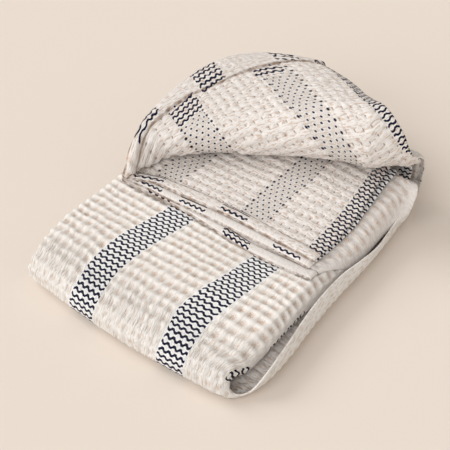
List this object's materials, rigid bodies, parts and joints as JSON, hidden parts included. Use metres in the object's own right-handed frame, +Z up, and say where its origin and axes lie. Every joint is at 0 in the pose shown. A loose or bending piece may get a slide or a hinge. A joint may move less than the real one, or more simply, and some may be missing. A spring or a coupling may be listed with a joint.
{
  "type": "folded waffle weave cotton blanket",
  "caption": "Waffle weave cotton blanket folded flat, with the corner of its top fold turned back and stacked turned hems across the front.",
  "frame": {"origin": "on the floor under the folded blanket, on the flat underside of its lowest layer", "axes": "+Y from the front roll towards the rear fold, +Z up, +X from the doubled fold on the left towards the open right side"},
  "size_m": [0.3768, 0.548, 0.1744],
  "materials": {
    "cotton": "undyed off-white cotton waffle weave with navy woven wave bands"
  },
  "bodies": {
    "root": {"blanket": "cotton"}
  },
  "joints": []
}
